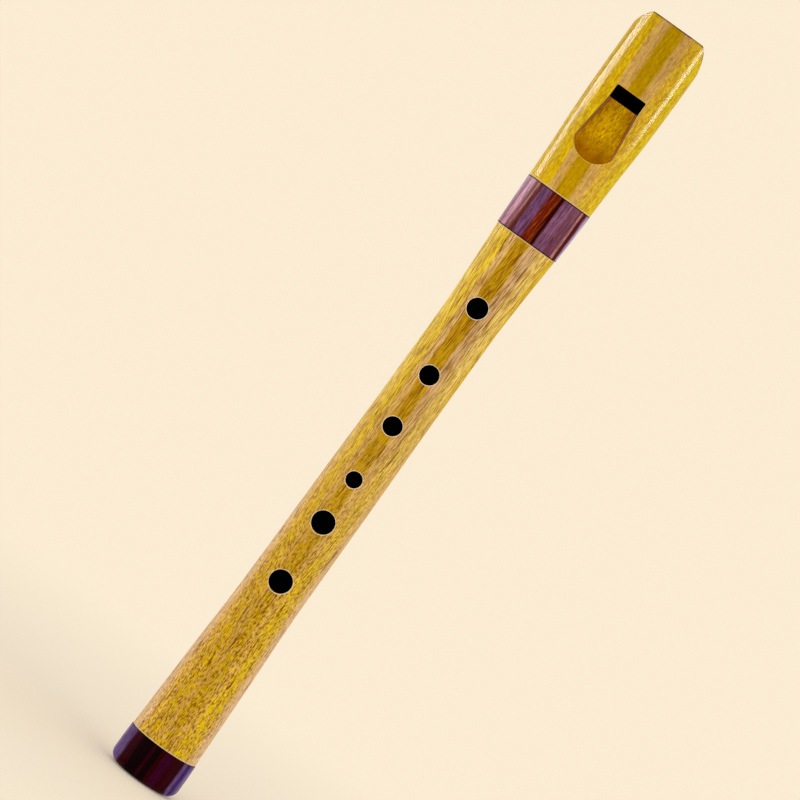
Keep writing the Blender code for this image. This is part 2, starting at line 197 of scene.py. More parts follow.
def cutWith(piece, shape, *materials):
    # The cut faces take the cutter's own finishes.
    cutter = newPiece("cutter", shape, *materials)
    boolean = piece.modifiers.new("cut", "BOOLEAN")
    boolean.operation = "DIFFERENCE"
    boolean.solver = "EXACT"
    boolean.material_mode = "TRANSFER"
    boolean.object = cutter
    graph = bpy.context.evaluated_depsgraph_get()
    mesh = bpy.data.meshes.new_from_object(piece.evaluated_get(graph))
    piece.modifiers.clear()
    piece.data = mesh
    bpy.data.objects.remove(cutter, do_unlink=True)


def shadeRound(piece):
    piece.data.shade_smooth()
    piece.data.set_sharp_from_angle(angle=math.radians(sharpAngle))
    return piece


def polishSkin(piece, reach, low, high):
    # Gives the skin the normals of its true curve, so that highlights run clean past every cut.
    # reach(turn, height) is the skin's distance from the axis.
    mesh = piece.data
    step = 0.0001        # for measuring the curve's slopes
    onSkin = 0.00002     # how near the curve a vertex lies
    facing = 0.97        # how well its face agrees with the curve

    def point(turn, height):
        out = reach(turn, height)
        return Vector((out * math.cos(turn), out * math.sin(turn), height))

    trueNormals = {}
    for vert in mesh.vertices:
        turn, height = turnOf(vert), vert.co.z
        if low <= height <= high and abs(vert.co.xy.length - reach(turn, height)) < onSkin:
            around = point(turn + step, height) - point(turn - step, height)
            along = point(turn, height + step) - point(turn, height - step)
            trueNormals[vert.index] = around.cross(along).normalized()
    normals = [(0.0, 0.0, 0.0)] * len(mesh.loops)
    for face in mesh.polygons:
        for index in face.loop_indices:
            normal = trueNormals.get(mesh.loops[index].vertex_index)
            if normal and normal.dot(face.normal) > facing:
                normals[index] = normal
    mesh.normals_split_custom_set(normals)
    return piece


# Shader maths: one wrapped socket, so that masks are written as plain sums and products

class Signal:
    def __init__(self, tree, socket):
        self.tree = tree
        self.socket = socket

    def node(self, kind, settings=None, **values):
        # Makes any node: its settings first, then its sockets by name or, as in0, in1 and so on, by place.
        made = self.tree.nodes.new(kind)
        for key, value in (settings or {}).items():
            if key == "stops":
                fillRamp(made.color_ramp, value)
            else:
                setattr(made, key, value)
        for key, value in values.items():
            byPlace = key.startswith("in") and key[2:].isdigit()
            plug(self.tree, made.inputs[int(key[2:]) if byPlace else key], value)
        return made

    def math(self, operation, other=0.0):
        made = self.node("ShaderNodeMath", {"operation": operation}, in0=self, in1=other)
        return Signal(self.tree, made.outputs[0])

    def __add__(self, other):
        return self.math("ADD", other)

    def __sub__(self, other):
        return self.math("SUBTRACT", other)

    def __mul__(self, other):
        return self.math("MULTIPLY", other)

    def __truediv__(self, other):
        return self.math("DIVIDE", other)

    def __rsub__(self, other):
        made = self.node("ShaderNodeMath", {"operation": "SUBTRACT"}, in0=other, in1=self)
        return Signal(self.tree, made.outputs[0])

    __radd__ = __add__
    __rmul__ = __mul__

    def between(self, low, high):
        # 0 at low, 1 at high, straight in between and level beyond.
        made = self.node("ShaderNodeMapRange", {"clamp": True}, in0=self, in1=low, in2=high, in3=0.0, in4=1.0)
        return Signal(self.tree, made.outputs[0])


def fillRamp(ramp, stops):
    while len(ramp.elements) < len(stops):
        ramp.elements.new(0.5)
    for element, (position, colour) in zip(ramp.elements, stops):
        element.position = position
        element.color = (*colour, 1.0)


def plug(tree, socket, value):
    if isinstance(value, Signal):
        tree.links.new(value.socket, socket)
    elif isinstance(value, bpy.types.NodeSocket):
        tree.links.new(value, socket)
    elif socket.type == "RGBA":
        socket.default_value = (*value, 1.0)
    else:
        socket.default_value = value


def blend(factor, first, second, mode="MIX"):
    settings = {"data_type": "RGBA", "blend_type": mode}
    return factor.node("ShaderNodeMix", settings, in0=factor, in6=first, in7=second).outputs[2]


class Finish:
    # A material with its shader and the flute's own coordinates.
    def __init__(self, name):
        self.material = bpy.data.materials.new(name)
        self.material.use_nodes = True
        self.tree = self.material.node_tree
        self.shader = self.tree.nodes["Principled BSDF"]
        self.place = Signal(self.tree, self.tree.nodes.new("ShaderNodeTexCoord").outputs["Object"])
        parts = self.place.node("ShaderNodeSeparateXYZ", in0=self.place)
        self.x, self.y, self.z = [Signal(self.tree, output) for output in parts.outputs]

    def node(self, kind, settings=None, **values):
        return self.place.node(kind, settings, **values)

    def fromAxis(self):
        return (self.x * self.x + self.y * self.y).math("SQRT")

    def fromMiddle(self):
        return self.x.math("ABSOLUTE")

    def alongGrain(self, stretch, lean, shift):
        # Coordinates drawn out along the grain, which may lean a little to one side.
        made = self.node(
            "ShaderNodeCombineXYZ", in0=self.x + self.z * lean + shift, in1=self.y, in2=self.z * stretch
        )
        return Signal(self.tree, made.outputs[0])

    def noise(self, where, scale, detail, roughness=0.6, distortion=0.0):
        made = self.node(
            "ShaderNodeTexNoise", {"noise_dimensions": "3D"}, Vector=where, Scale=scale,
            Detail=detail, Roughness=roughness, Distortion=distortion,
        )
        return Signal(self.tree, made.outputs[0])

    def fibre(self, stretch, scale, detail, roughness=0.6, lean=0.0, shift=0.0, distortion=0.0):
        # Noise along the grain: the less the stretch, the longer its marks.
        return self.noise(self.alongGrain(stretch, lean, shift), scale, detail, roughness, distortion)

    def shade(self, colour, tone):
        made = self.node("ShaderNodeVectorMath", {"operation": "SCALE"}, in0=colour, Scale=tone)
        return made.outputs[0]

    def bump(self, height, distance, strength):
        return height.node("ShaderNodeBump", Height=height, Distance=distance, Strength=strength).outputs[0]

    def close(self, colour, roughness, normal, specular, coat=0.0):
        values = {
            "Base Color": colour, "Roughness": roughness, "Normal": normal, "Specular IOR Level": specular,
            "Coat Weight": coat, "Coat Roughness": 0.16,
        }
        for name, value in values.items():
            plug(self.tree, self.shader.inputs[name], value)
        return self.material


print("wooden flute: mixing the finishes")

# Stripes across the boards, from the left edge to the right: (colour, from, to) in millimetres from the middle
headWood = {
    "colours": {
        "pale": (0.760, 0.520, 0.090), "yellow": (0.700, 0.430, 0.003), "tan": (0.650, 0.370, 0.090),
        "straw": (0.690, 0.420, 0.018), "olive": (0.490, 0.268, 0.001), "gold": (0.810, 0.550, 0.010),
    },
    # The tan stripes either side of the olive middle are partly the wood's own tone and partly painted reflection
    # of the front lamps
    "stripes": (
        ("pale", -14.3, -13.5), ("yellow", -12.6, -7.2), ("tan", -6.0, -3.6), ("olive", -2.3, 2.4),
        ("tan", 3.7, 5.9), ("straw", 7.4, 9.6), ("gold", 11.6, 14.3),
    ),
    "wander": 4.0, "ripple": 2.0, "roughness": 0.38, "coat": 0.12, "specular": 0.0, "poreDepth": 0.00001,
    "clouds": 0.7, "flecks": 1.0, "lightLines": 0.30, "brownLines": 0.35, "pores": 0.35, "streaks": 0.10,
    "fibreNoise": (0.034, 3000.0, 2.0), "poreNoise": (0.25, 3000.0, 2.0),
    "mouthTone": 0.85, "cornerLines": 0.7, "lowShift": 1.0, "deepEnd": False,
}
bodyWood = {
    "colours": {
        "pale": (0.870, 0.600, 0.080), "yellow": (0.780, 0.490, 0.008), "tan": (0.680, 0.400, 0.110),
        "olive": (0.490, 0.252, 0.003), "rose": (0.610, 0.355, 0.130), "straw": (0.740, 0.475, 0.100),
        "cream": (0.860, 0.570, 0.110),
    },
    # The tan and rose stripes either side of the olive middle are partly the wood's own tone and partly painted
    # reflection of the front lamps, and the pale stripe on the left is partly painted sheen
    "stripes": (
        ("pale", -13.0, -9.6), ("yellow", -8.6, -6.0), ("tan", -5.0, -3.0), ("olive", -2.3, 1.9),
        ("rose", 2.7, 5.6), ("straw", 6.8, 7.8), ("cream", 8.6, 9.4), ("yellow", 10.4, 13.0),
    ),
    "footColours": {
        "edge": (0.820, 0.510, 0.220), "amber": (0.750, 0.420, 0.030), "gold": (0.625, 0.355, 0.003),
        "dun": (0.585, 0.315, 0.035), "olive": (0.555, 0.310, 0.003), "sand": (0.660, 0.380, 0.040),
        "yellow": (0.730, 0.445, 0.002),
    },
    # The edge stripes at both sides are partly the wood's colour and partly painted sheen
    "footStripes": (
        ("edge", -13.7, -11.2), ("amber", -9.6, -8.4), ("gold", -7.2, -4.2), ("dun", -3.4, -2.4),
        ("olive", -1.4, 2.0), ("sand", 3.0, 4.6), ("yellow", 5.6, 8.6), ("sand", 9.6, 10.2), ("edge", 11.2, 13.7),
    ),
    "wander": 4.0, "ripple": 3.0, "roughness": 0.46, "coat": 0.0, "specular": 0.025, "poreDepth": 0.00003,
    "clouds": 0.5, "flecks": 0.0, "lightLines": 0.70, "brownLines": 0.90, "pores": 0.60, "streaks": 0.80,
    "fibreNoise": (0.055, 2800.0, 1.5), "poreNoise": (0.12, 2600.0, 2.0),
    "mouthTone": 1.0, "cornerLines": 0.0, "deepEnd": False,
}
rampWood = {
    **headWood, "coat": 0.0, "lightLines": 0.50, "brownLines": 0.80, "pores": 0.50, "deepEnd": True,
    "colours": {"amber": (0.530, 0.262, 0.001), "gold": (0.605, 0.320, 0.001)},
    "stripes": (("amber", -14.0, -4.0), ("gold", -2.5, 1.5), ("amber", 3.0, 14.0)),
}
# Painted highlight on the eased rims of the finger holes
rimWood = {
    **headWood, "coat": 0.0, "flecks": 0.0, "mouthTone": 1.0, "cornerLines": 0.0,
    "colours": {"pale": (0.880, 0.700, 0.430), "paler": (0.900, 0.720, 0.460)},
    "stripes": (("pale", -14.0, -4.0), ("paler", 4.0, 14.0)),
}
# The lip round the window and ramp: painted shade on its left side, a painted highlight on its right
lipWood = {**rimWood, "colours": {"pale": (0.600, 0.350, 0.025), "paler": (0.720, 0.440, 0.050)}}
cutWood = {**headWood, "coat": 0.0}
ringWood = {
    "colours": {
        "lilac": (0.480, 0.310, 0.410), "line": (0.250, 0.080, 0.110), "mauve": (0.530, 0.235, 0.300),
        "rose": (0.275, 0.088, 0.125), "wine": (0.190, 0.052, 0.070), "blush": (0.360, 0.120, 0.100),
        "brown": (0.098, 0.012, 0.008), "plum": (0.155, 0.055, 0.125), "rust": (0.135, 0.010, 0.0015),
        "black": (0.030, 0.0003, 0.0006), "mulberry": (0.200, 0.072, 0.130), "garnet": (0.158, 0.037, 0.066),
        "pale": (0.520, 0.230, 0.200), "red": (0.095, 0.003, 0.002), "sky": (0.450, 0.340, 0.520),
    },
    # The lilac and mauve stripes on the left and the sky stripe on the right are partly the wood's colour and
    # partly painted sheen, and the plum and mulberry stripes partly painted reflection of the front lamps
    "stripes": (
        ("lilac", -13.1, -12.2), ("line", -11.5, -11.5), ("mauve", -10.9, -10.1), ("rose", -9.4, -9.4),
        ("wine", -8.8, -8.7), ("blush", -8.05, -8.0), ("brown", -7.4, -6.6), ("plum", -6.0, -2.9),
        ("rust", -2.3, 0.6), ("black", 1.3, 2.4), ("mulberry", 3.1, 6.2), ("garnet", 7.0, 9.6),
        ("pale", 10.25, 10.3), ("red", 10.8, 11.6), ("sky", 12.1, 13.1),
    ),
    "wander": 1.0, "ripple": 1.1, "dark": (0.030, 0.0006, 0.002), "roughness": 0.34,
    "specular": 0.015, "lines": 0.60, "paleLines": 0.8, "rimShade": 0.9,
    # Bright threads in the rust stripe: from and to, in metres from the middle
    "embers": (-0.0024, 0.0016), "ember": (0.330, 0.055, 0.004),
}
footWood = {
    "colours": {
        "violet": (0.135, 0.066, 0.180), "indigo": (0.040, 0.017, 0.100), "wine": (0.028, 0.0003, 0.0025),
        "black": (0.0045, 0.0003, 0.0010), "red": (0.030, 0.0002, 0.0004), "purple": (0.033, 0.0004, 0.012),
        "lilac": (0.200, 0.135, 0.290),
    },
    # The lilac, violet and indigo stripes at the two sides are partly the wood's colour and partly painted sheen
    "stripes": (
        ("lilac", -13.7, -13.2), ("violet", -12.6, -10.8), ("wine", -9.9, -7.6), ("black", -6.6, -2.6),
        ("wine", -1.6, -1.6), ("black", -0.9, 0.9), ("red", 1.8, 2.8), ("purple", 3.6, 5.4),
        ("wine", 6.2, 9.8), ("violet", 10.5, 10.7), ("indigo", 11.2, 12.0), ("violet", 12.6, 12.9),
        ("lilac", 13.3, 13.7),
    ),
    "wander": 0.8, "ripple": 1.0, "dark": (0.002, 0.0001, 0.0004), "roughness": 0.30,
    "specular": 0.015, "lines": 0.5, "paleLines": 0.7, "rimShade": 0.3, "embers": None,
}
# Among these colours the black inside of the bore and holes is painted shade, the pale sides towards the foot are
# painted sheen, the dark line at the mouth end is painted shade, and the pale lines at the seams are painted
# highlights
yellowMarks = {
    "light": (1.26, 1.34, 1.70), "brown": (0.60, 0.45, 0.16), "pore": (0.200, 0.065, 0.001),
    "streak": (0.150, 0.030, 0.001), "footSheen": (0.800, 0.510, 0.240), "fleck": (0.90, 0.74, 0.66),
    "inside": (0.004, 0.002, 0.001), "endStain": (0.050, 0.014, 0.030), "seamHighlight": (0.860, 0.660, 0.300),
    "glint": (1.13, 1.22, 1.15), "cornerLine": (0.230, 0.150, 0.110), "tanPatch": (0.590, 0.330, 0.130),
    "lean": 0.06, "footFrom": 0.08, "footTo": 0.18, "footSheenShare": 0.9, "footPatches": 0.42, "brightest": 1.16,
    # Painted highlights along the seams: the height of each seam and how strongly it shows
    "seams": ((footSeam, 0.85), (shoulder, 0.65), (ringTop, 0.65)), "endWidth": 0.00030,
}
# Noise of each mark: its stretch along the grain, scale and detail
yellowNoises = {
    "clouds": (0.30, 420.0, 3.0), "flecks": (0.45, 1300.0, 2.0), "streaks": (0.035, 1500.0, 2.0),
    "shortFibre": (0.34, 2250.0, 0.5), "tanPatches": (0.45, 900.0, 2.0),
}
# Noise levels at which each mark starts, and at which it is at its strongest
yellowLevels = {
    "light": (0.48, 0.41), "brown": (0.52, 0.59), "pores": (0.57, 0.62), "streaks": (0.61, 0.66),
    "flecks": (0.51, 0.60), "glints": (0.49, 0.40), "tanPatches": (0.50, 0.60),
    "footLight": (0.46, 0.35), "footBrown": (0.53, 0.64), "footPores": (0.63, 0.70),
}
grainSizes = {"halfWidth": 15.0, "wanderScale": 26.0, "rippleScale": 620.0, "footRipple": 6.0}


def readStripes(share, stripes, colours):
    half = grainSizes["halfWidth"]
    stops = []
    for name, start, end in stripes:
        stops += [((edge + half) / (2 * half), colours[name]) for edge in sorted({start, end})]
    return share.node("ShaderNodeValToRGB", {"stops": stops}, Fac=share).outputs[0]


def acrossGrain(wood, sizes):
    # Reads the stripes across the board, which wander a little along the grain and change towards the foot.
    grain = grainSizes
    wander = wood.fibre(1.0, grain["wanderScale"], 2.0, 0.5) - 0.5
    ripple = wood.fibre(0.09, grain["rippleScale"], 4.0, 0.65) - 0.5
    across = wood.x * 1000.0 + wander * sizes["wander"] + ripple * sizes["ripple"]
    if "lowShift" in sizes:
        # Near the ring the left stripes lie nearer the middle
        low = 1 - wood.z.between(ringTop + 0.005, mouthEnd - 0.02)
        across = across - low * wood.x.between(-0.0035, -0.0050) * sizes["lowShift"]
    share = (across + grain["halfWidth"]) / (2 * grain["halfWidth"])
    colour = readStripes(share, sizes["stripes"], sizes["colours"])
    if "footStripes" in sizes:
        ragged = wood.fibre(0.16, grain["rippleScale"], 3.0, 0.65) - 0.5
        footShare = share + ragged * grain["footRipple"] / (2 * grain["halfWidth"])
        colour = blend(footward(wood), colour, readStripes(footShare, sizes["footStripes"], sizes["footColours"]))
    return colour


def footward(wood):
    # 1 in the lower part of the body, 0 in its upper part.
    return 1 - wood.z.between(yellowMarks["footFrom"], yellowMarks["footTo"])


def eitherSide(wood, marks, lean, shift):
    # Marks that lean one way on the left of the board and the other way on its right.
    left = wood.fibre(*marks, lean=lean, shift=shift, distortion=0.1)
    right = wood.fibre(*marks, lean=-lean, shift=shift, distortion=0.1)
    return left + (right - left) * wood.x.between(-0.0032, -0.0018)


def addFlecks(wood, colour, strength):
    # Small dark flecks and pale glints, fewer along the middle.
    marking, levels = yellowMarks, yellowLevels
    flecks = wood.fibre(*yellowNoises["flecks"], lean=marking["lean"])
    share = (wood.fromMiddle().between(0.0050, 0.0075) * 0.6 + 0.4) * strength
    colour = blend(flecks.between(*levels["flecks"]) * share, colour, marking["fleck"], "MULTIPLY")
    return blend(flecks.between(*levels["glints"]) * share, colour, marking["glint"], "MULTIPLY")


def addEnds(wood, colour, lineShare):
    # Painted highlights at the seams, and on the head a grey-brown line along the mouth end's corners and painted
    # shade along its front edge.
    marking = yellowMarks
    width = marking["endWidth"]
    # Painted highlight: a pale line either side of each seam
    for seam, share in marking["seams"]:
        seamHighlight = (wood.z - seam).math("ABSOLUTE").between(2 * width, width) * share
        colour = blend(seamHighlight, colour, marking["seamHighlight"])
    if lineShare:
        colour = blend(cornerLines(wood) * lineShare, colour, marking["cornerLine"])
        # Painted shade: a thin dark line, in patches, along the front edge of the mouth end
        patches = wood.noise(wood.place, 300.0, 2.0).between(0.35, 0.60) * 0.4 + 0.5
        endStain = wood.z.between(mouthEnd - 0.0007, mouthEnd - 0.0003) * patches * frontOutline(wood)
        colour = blend(endStain, colour, marking["endStain"])
    return colour


def makeYellowWood(name, sizes, deep=None):
    # deep is a pair of distances from the axis: painted shade, black up to the first, plain wood from the second
    # on.
    wood = Finish(name)
    marking, noises, levels = yellowMarks, yellowNoises, yellowLevels
    lean = marking["lean"]
    colour = acrossGrain(wood, sizes)
    clouds = wood.fibre(*noises["clouds"])
    longFibre = eitherSide(wood, sizes["fibreNoise"], lean, 0.0)
    pores = eitherSide(wood, sizes["poreNoise"], lean, 0.2).between(*levels["pores"]) * sizes["pores"]
    streaks = eitherSide(wood, noises["streaks"], lean, 0.1).between(*levels["streaks"]) * sizes["streaks"]
    light = longFibre.between(*levels["light"]) * sizes["lightLines"]
    brown = longFibre.between(*levels["brown"]) * sizes["brownLines"]
    if sizes["flecks"]:
        colour = addFlecks(wood, colour, sizes["flecks"])
    if "footStripes" in sizes:
        # Towards the foot the fibre is cut short, and the sides seen from the front take a painted sheen, with
        # fewer marks
        nearFoot = footward(wood)
        shortFibre = eitherSide(wood, noises["shortFibre"], 1.5 * lean, 0.3)
        tanPatches = wood.fibre(*noises["tanPatches"], lean=lean).between(*levels["tanPatches"])
        # Painted sheen: paler and with fewer marks towards the left and right sides
        edge = (wood.fromAxis() - wood.fromMiddle()).between(0.0030, 0.0010) * nearFoot
        colour = blend(edge * marking["footSheenShare"], colour, marking["footSheen"])
        colour = blend(tanPatches * nearFoot * marking["footPatches"], colour, marking["tanPatch"])
        light = light + (shortFibre.between(*levels["footLight"]) * sizes["lightLines"] - light) * nearFoot
        brown = brown + (shortFibre.between(*levels["footBrown"]) * sizes["brownLines"] - brown) * nearFoot
        pores = pores.math("MAXIMUM", shortFibre.between(*levels["footPores"]) * nearFoot * sizes["pores"])
        smooth = 1 - edge * 0.6
        light, brown, pores = light * smooth, brown * smooth, pores * smooth
    if sizes["deepEnd"]:
        grained = 1 - rampFootShare(wood) * 0.7
        light, brown, pores = light * grained, brown * grained, pores * grained
    colour = blend(light, colour, marking["light"], "MULTIPLY")
    colour = blend(brown, colour, marking["brown"], "MULTIPLY")
    colour = blend(pores, colour, marking["pore"])
    colour = blend(streaks, colour, marking["streak"])
    tone = (1 + (0.5 - clouds) * sizes["clouds"]).math("MINIMUM", marking["brightest"])
    tone = tone * (1 - wood.z.between(ringTop, mouthEnd) * (1 - sizes["mouthTone"]))
    colour = wood.shade(colour, tone)
    if sizes["deepEnd"]:
        colour = rampShades(wood, colour)
    elif not deep:
        colour = addEnds(wood, colour, sizes["cornerLines"])
    if deep:
        # Painted shade: black inside the bore and the finger holes
        colour = blend(1 - wood.fromAxis().between(*deep), colour, marking["inside"])
    normal = wood.bump(pores.math("MAXIMUM", streaks) * -1.0, sizes["poreDepth"], 0.5)
    coat = 0.0
    if sizes["coat"] and not deep:
        # Front and back are rubbed matt by the hands, so only the rounded sides between them shine
        coat = wood.fromMiddle().between(0.0070, 0.0085) * sizes["coat"]
    return wood.close(colour, clouds * 0.10 + sizes["roughness"], normal, sizes["specular"], coat)


def frontOutline(wood):
    # 1 along the front edge of the mouth end, 0 further in and at the back.
    halfWidth, halfDepth, power = headSection(mouthEnd)
    across = (wood.fromMiddle() * (1 / halfWidth)).math("POWER", power)
    deep = (wood.y.math("ABSOLUTE") * (1 / halfDepth)).math("POWER", power)
    return (across + deep).between(0.80, 0.88) * wood.y.between(-0.0030, -0.0045)


def cornerLines(wood):
    # 1 along the edges of the mouth end's two rounded corners, where a grey-brown line is drawn.
    halfWidth = headSizes["halfWidths"][-1][1]
    mask = 0.0
    for corner, side in ((headSizes["rightCorner"], 1), (headSizes["leftCorner"], -1)):
        length, width, fullness = corner
        share = wood.z.between(mouthEnd - length, mouthEnd)
        drop = (1 - share.math("POWER", fullness)).math("POWER", 1 / fullness)
        inset = (halfWidth - width) + drop * width - wood.x * side
        alongEdge = inset.between(0.0005, 0.0002) * share.between(0.45, 0.65)
        mask = mask + alongEdge * (wood.x * side).between(0.0, 0.0001)
    return mask * frontOutline(wood)


def rampFootShare(wood):
    # 1 in the ramp's round end, 0 further up: where the ramp takes painted shade and shows less grain.
    low = mouthSizes["rampFoot"]
    return 1 - wood.z.between(low + 0.003, low + 0.0100)


# Colours of the ramp's painted shade in its round end and on its walls, of the painted highlight along the walls,
# and of the labium's reddish tint
rampMarks = {
    "footShade": (0.60, 0.41, 0.12), "labiumTint": (0.600, 0.200, 0.020), "wall": (0.250, 0.075, 0.010),
    "wallLine": (0.560, 0.250, 0.120),
}


def rampShades(wood, colour):
    # The carved ramp darkens with painted shade towards its round end and on its red brown walls, a painted
    # highlight runs as a paler line along the walls, and the labium is redder at its two ends.
    sizes, marking = mouthSizes, rampMarks
    slope = (sizes["rampWidest"] - sizes["windowWidth"]) / 2 / (sizes["labium"] - sizes["rampWidestHeight"])
    reach = (sizes["labium"] - wood.z) * slope + sizes["windowWidth"] / 2
    inside = reach - wood.fromMiddle()
    above = wood.z.between(sizes["rampFoot"] + 0.004, sizes["rampFoot"] + 0.007)
    labiumTint = wood.z.between(sizes["labium"] - 0.0022, sizes["labium"] - 0.0004)
    labiumTint = labiumTint * wood.fromMiddle().between(0.001, 0.004)
    # Painted shade in the round end, and a reddish tint at the labium's two ends
    colour = blend(rampFootShare(wood), colour, marking["footShade"], "MULTIPLY")
    colour = blend(labiumTint * 0.5, colour, marking["labiumTint"])
    # Painted shade on the walls, and a painted highlight as a paler line along them
    colour = blend(inside.between(0.0012, 0.0009) * above * 0.90, colour, marking["wall"])
    line = inside.between(0.0008, 0.0006) * inside.between(0.0003, 0.0005) * above
    return blend(line * 0.7, colour, marking["wallLine"])


rosewoodMarks = {
    "fineShare": 1.8, "speckShare": 1.3, "paler": (1.35, 1.35, 1.35), "rimFrom": 0.0005, "rimTo": 0.0002,
}
rosewoodNoises = {
    "lines": (0.025, 2500.0, 3.0, 0.65), "fine": (0.045, 3200.0, 2.0), "specks": (0.25, 1900.0, 2.0),
    "threads": (0.030, 1500.0, 2.0),
}
rosewoodLevels = {"dark": (0.55, 0.60), "pale": (0.46, 0.40), "threads": (0.50, 0.60)}


def makeRosewood(name, sizes, rims):
    # rims are the heights of the ring's two ends, whose edges take a little painted shade.
    wood = Finish(name)
    marking, noises, levels = rosewoodMarks, rosewoodNoises, rosewoodLevels
    lines = wood.fibre(*noises["lines"], distortion=0.2)
    fine = wood.fibre(*noises["fine"])
    specks = wood.fibre(*noises["specks"])
    lineMask = lines.between(*levels["dark"]) * sizes["lines"]
    paleMask = lines.between(*levels["pale"]) * sizes["paleLines"]
    middle, half = (rims[0] + rims[1]) / 2, (rims[1] - rims[0]) / 2
    # Painted shade at the ring's ends, where it meets the next part
    rimMask = (wood.z - middle).math("ABSOLUTE").between(half - marking["rimFrom"], half - marking["rimTo"])
    rimMask = rimMask * sizes["rimShade"]
    colour = acrossGrain(wood, sizes)
    if sizes["embers"]:
        left, right = sizes["embers"]
        threads = wood.fibre(*noises["threads"], lean=-0.13).between(*levels["threads"])
        threads = threads * wood.x.between(left, left + 0.0004) * wood.x.between(right, right - 0.0008)
        colour = blend(threads * 0.8, colour, sizes["ember"])
    colour = blend(paleMask, colour, marking["paler"], "MULTIPLY")
    colour = wood.shade(colour, 1 + (0.5 - fine) * marking["fineShare"] + (0.5 - specks) * marking["speckShare"])
    colour = blend(lineMask.math("MAXIMUM", rimMask), colour, sizes["dark"])
    normal = wood.bump(lineMask * -1.0, 0.00002, 0.4)
    return wood.close(colour, lines * 0.08 + sizes["roughness"], normal, sizes["specular"])


cedarWood = {"early": (0.40, 0.19, 0.085), "late": (0.28, 0.115, 0.048), "pore": (0.13, 0.05, 0.02)}


def makeCedar():
    wood = Finish("plainCedar")
    rings = wood.fibre(0.02, 900.0, 3.0, distortion=0.4)
    colour = blend(rings.between(0.35, 0.68), cedarWood["early"], cedarWood["late"])
    pores = wood.fibre(0.05, 4000.0, 2.0).between(0.58, 0.70)
    colour = blend(pores * 0.5, colour, cedarWood["pore"])
    # Painted shade: the block turns black towards its lower end, under the window
    low = mouthSizes["windowTop"]
    colour = blend(1 - wood.z.between(low + 0.0015, low + 0.008), colour, yellowMarks["inside"])
    return wood.close(colour, rings * 0.1 + 0.55, wood.bump(rings, 0.00005, 0.3), 0.0)


corkGrain = {"pale": (0.52, 0.32, 0.17), "dark": (0.36, 0.20, 0.10), "speck": (0.09, 0.045, 0.022)}


def makeCorkFinish():
    cork = Finish("sandedCork")
    grains = cork.noise(cork.place, 1400.0, 3.0)
    specks = cork.noise(cork.place, 3000.0, 2.0)
    colour = blend(grains.between(0.35, 0.68), corkGrain["pale"], corkGrain["dark"])
    colour = blend(specks.between(0.58, 0.66) * 0.8, colour, corkGrain["speck"])
    return cork.close(colour, grains * 0.1 + 0.8, cork.bump(grains, 0.00010, 0.7), 0.25)


print("wooden flute: turning the body")

bodyFinish = makeYellowWood("oiledYellowWood", bodyWood)
# Painted shade inside the finger holes and the bore, and a painted highlight on the holes' eased rims
holeFinish = makeYellowWood("fingerHoleWall", bodyWood, (0.0085, 0.0103))
rimFinish = makeYellowWood("holeRimHighlight", rimWood)
boreFinish = makeYellowWood("bodyBore", bodyWood, (0.0066, 0.0070))
bodySizes = {
    "outline": (
        (0.0143, 0.01325), (0.0472, 0.01228), (0.0812, 0.01122), (0.1222, 0.01095),
        (0.1612, 0.01057), (0.1950, 0.01054), (0.2142, 0.01120), (0.2309, 0.01208),
    ),
    "bore": 0.0063, "tenon": 0.0089, "spigot": 0.0096, "easedEdge": 0.00022, "rows": 90,
    "fingerHoles": (
        (0.0854, 0.0086), (0.1107, 0.0086), (0.1290, 0.0061), (0.1519, 0.0071), (0.1737, 0.0072), (0.2022, 0.0077),
    ),
    "holeSteps": 128, "holeRound": 0.00022, "drillEnd": 0.002, "drillTop": 0.004,
}


def holeCutter(height, width):
    # A drill whose edge is eased where it meets the body's round side.
    sizes = bodySizes
    ease = sizes["holeRound"]
    shape, verts, edges = startRing(sizes["holeSteps"])
    turns = [turnOf(vert) for vert in verts]

    def placeRing(ring, radius, below):
        # below is the depth under the body's skin, or None for the bottom of the drill
        for vert, turn in zip(ring, turns):
            x = radius * math.cos(turn)
            z = height + radius * math.sin(turn)
            skin = math.sqrt(smoothCurve(sizes["outline"], z) ** 2 - x * x)
            vert.co = (x, -sizes["drillEnd"] if below is None else below - skin, z)

    placeRing(verts, width / 2, None)
    eased = [(1 - math.cos(a), 1 - math.sin(a)) for a in spread(0, math.pi / 2, 6)]
    rows = [(ease * out, ease * down) for out, down in eased]
    rows += [(4 * ease, -ease), (4 * ease, -sizes["drillTop"])]
    for out, down in rows:
        verts, edges = growRing(shape, edges)
        placeRing(verts, width / 2 + out, down)
        # The eased edge takes the rim's painted highlight
        if out > 0:
            for edge in edges:
                for face in edge.link_faces:
                    face.material_index = 1
    closeEnds(shape)
    return shape


def bodyReach(turn, height):
    return smoothCurve(bodySizes["outline"], height)


def makeBody():
    sizes = bodySizes
    ease = sizes["easedEdge"]
    top = shoulder - hairline
    foot = footSeam + hairline
    topRadius = smoothCurve(sizes["outline"], top)
    footRadius = smoothCurve(sizes["outline"], foot)
    side = [(smoothCurve(sizes["outline"], z), z) for z in spread(top - ease, foot + ease, sizes["rows"])]
    outline = [
        (sizes["bore"], bodyHigh.z), (sizes["tenon"], bodyHigh.z), (sizes["tenon"], top),
        *roundedCorner(topRadius - ease, top - ease, ease, 90, 20),
        *side[1:-1],
        *roundedCorner(footRadius - ease, foot + ease, ease, -20, -90),
        (sizes["spigot"], foot), (sizes["spigot"], bodyLow.z), (sizes["bore"], bodyLow.z),
    ]
    body = newPiece("bodyJoint", turnOutline(outline), bodyFinish, boreFinish)
    for face in body.data.polygons:
        # The bore takes its painted shade
        face.material_index = int(face.center.xy.length < sizes["bore"] + ease)
    for height, width in sizes["fingerHoles"]:
        cutWith(body, holeCutter(height, width), holeFinish, rimFinish)
    return polishSkin(shadeRound(body), bodyReach, foot + ease, top - ease)


